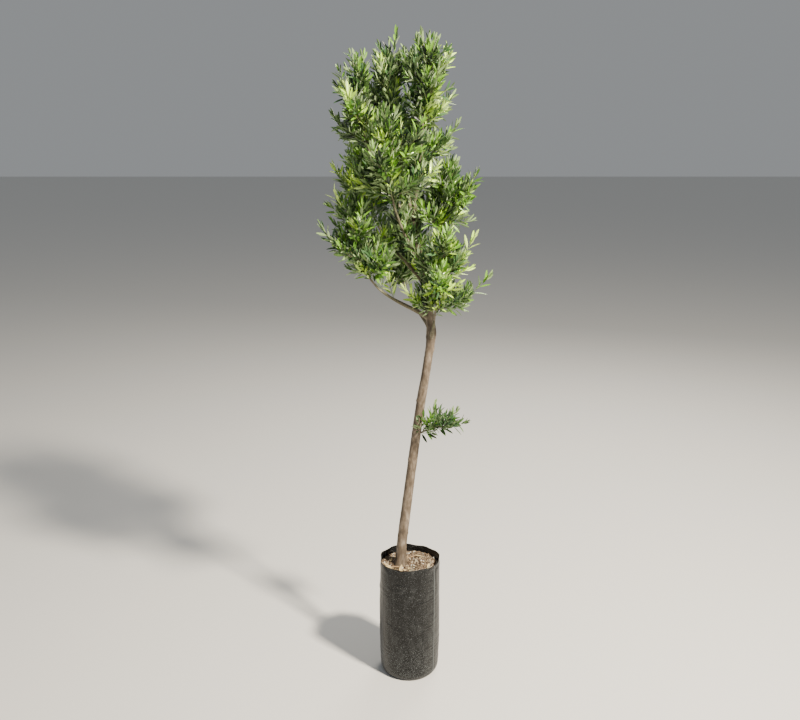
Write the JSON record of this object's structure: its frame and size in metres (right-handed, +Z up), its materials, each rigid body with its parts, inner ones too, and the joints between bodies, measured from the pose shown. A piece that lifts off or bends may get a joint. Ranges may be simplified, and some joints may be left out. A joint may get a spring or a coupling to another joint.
{
  "type": "potted olive tree",
  "caption": "Young olive tree with a leaning trunk, ascending boughs and a narrow leafy crown, standing in a tall round grow bag filled with potting mix",
  "frame": {"origin": "the centre of the bag's flat underside", "axes": "+Z up, +X to the right and -Y to the front as the picture shows the tree"},
  "size_m": [0.5543, 0.591, 2.26],
  "materials": {
    "film": "satin",
    "soil": "matte",
    "bark": "matte",
    "foliage": "matte"
  },
  "bodies": {
    "root": {"bag": "film", "soil": "soil", "trunk": "bark", "leader": "bark", "bough_low_1": "bark", "bough_low_2": "bark", "bough_low_3": "bark", "bough_middle_1": "bark", "bough_middle_2": "bark", "bough_middle_3": "bark", "bough_high_1": "bark", "bough_high_2": "bark", "bough_high_3": "bark", "foliage_low_1": "foliage", "foliage_low_2": "foliage", "foliage_low_3": "foliage", "foliage_middle_1": "foliage", "foliage_middle_2": "foliage", "foliage_middle_3": "foliage", "foliage_high_1": "foliage", "foliage_high_2": "foliage", "foliage_high_3": "foliage", "foliage_top": "foliage", "foliage_shoot": "foliage"}
  },
  "joints": []
}
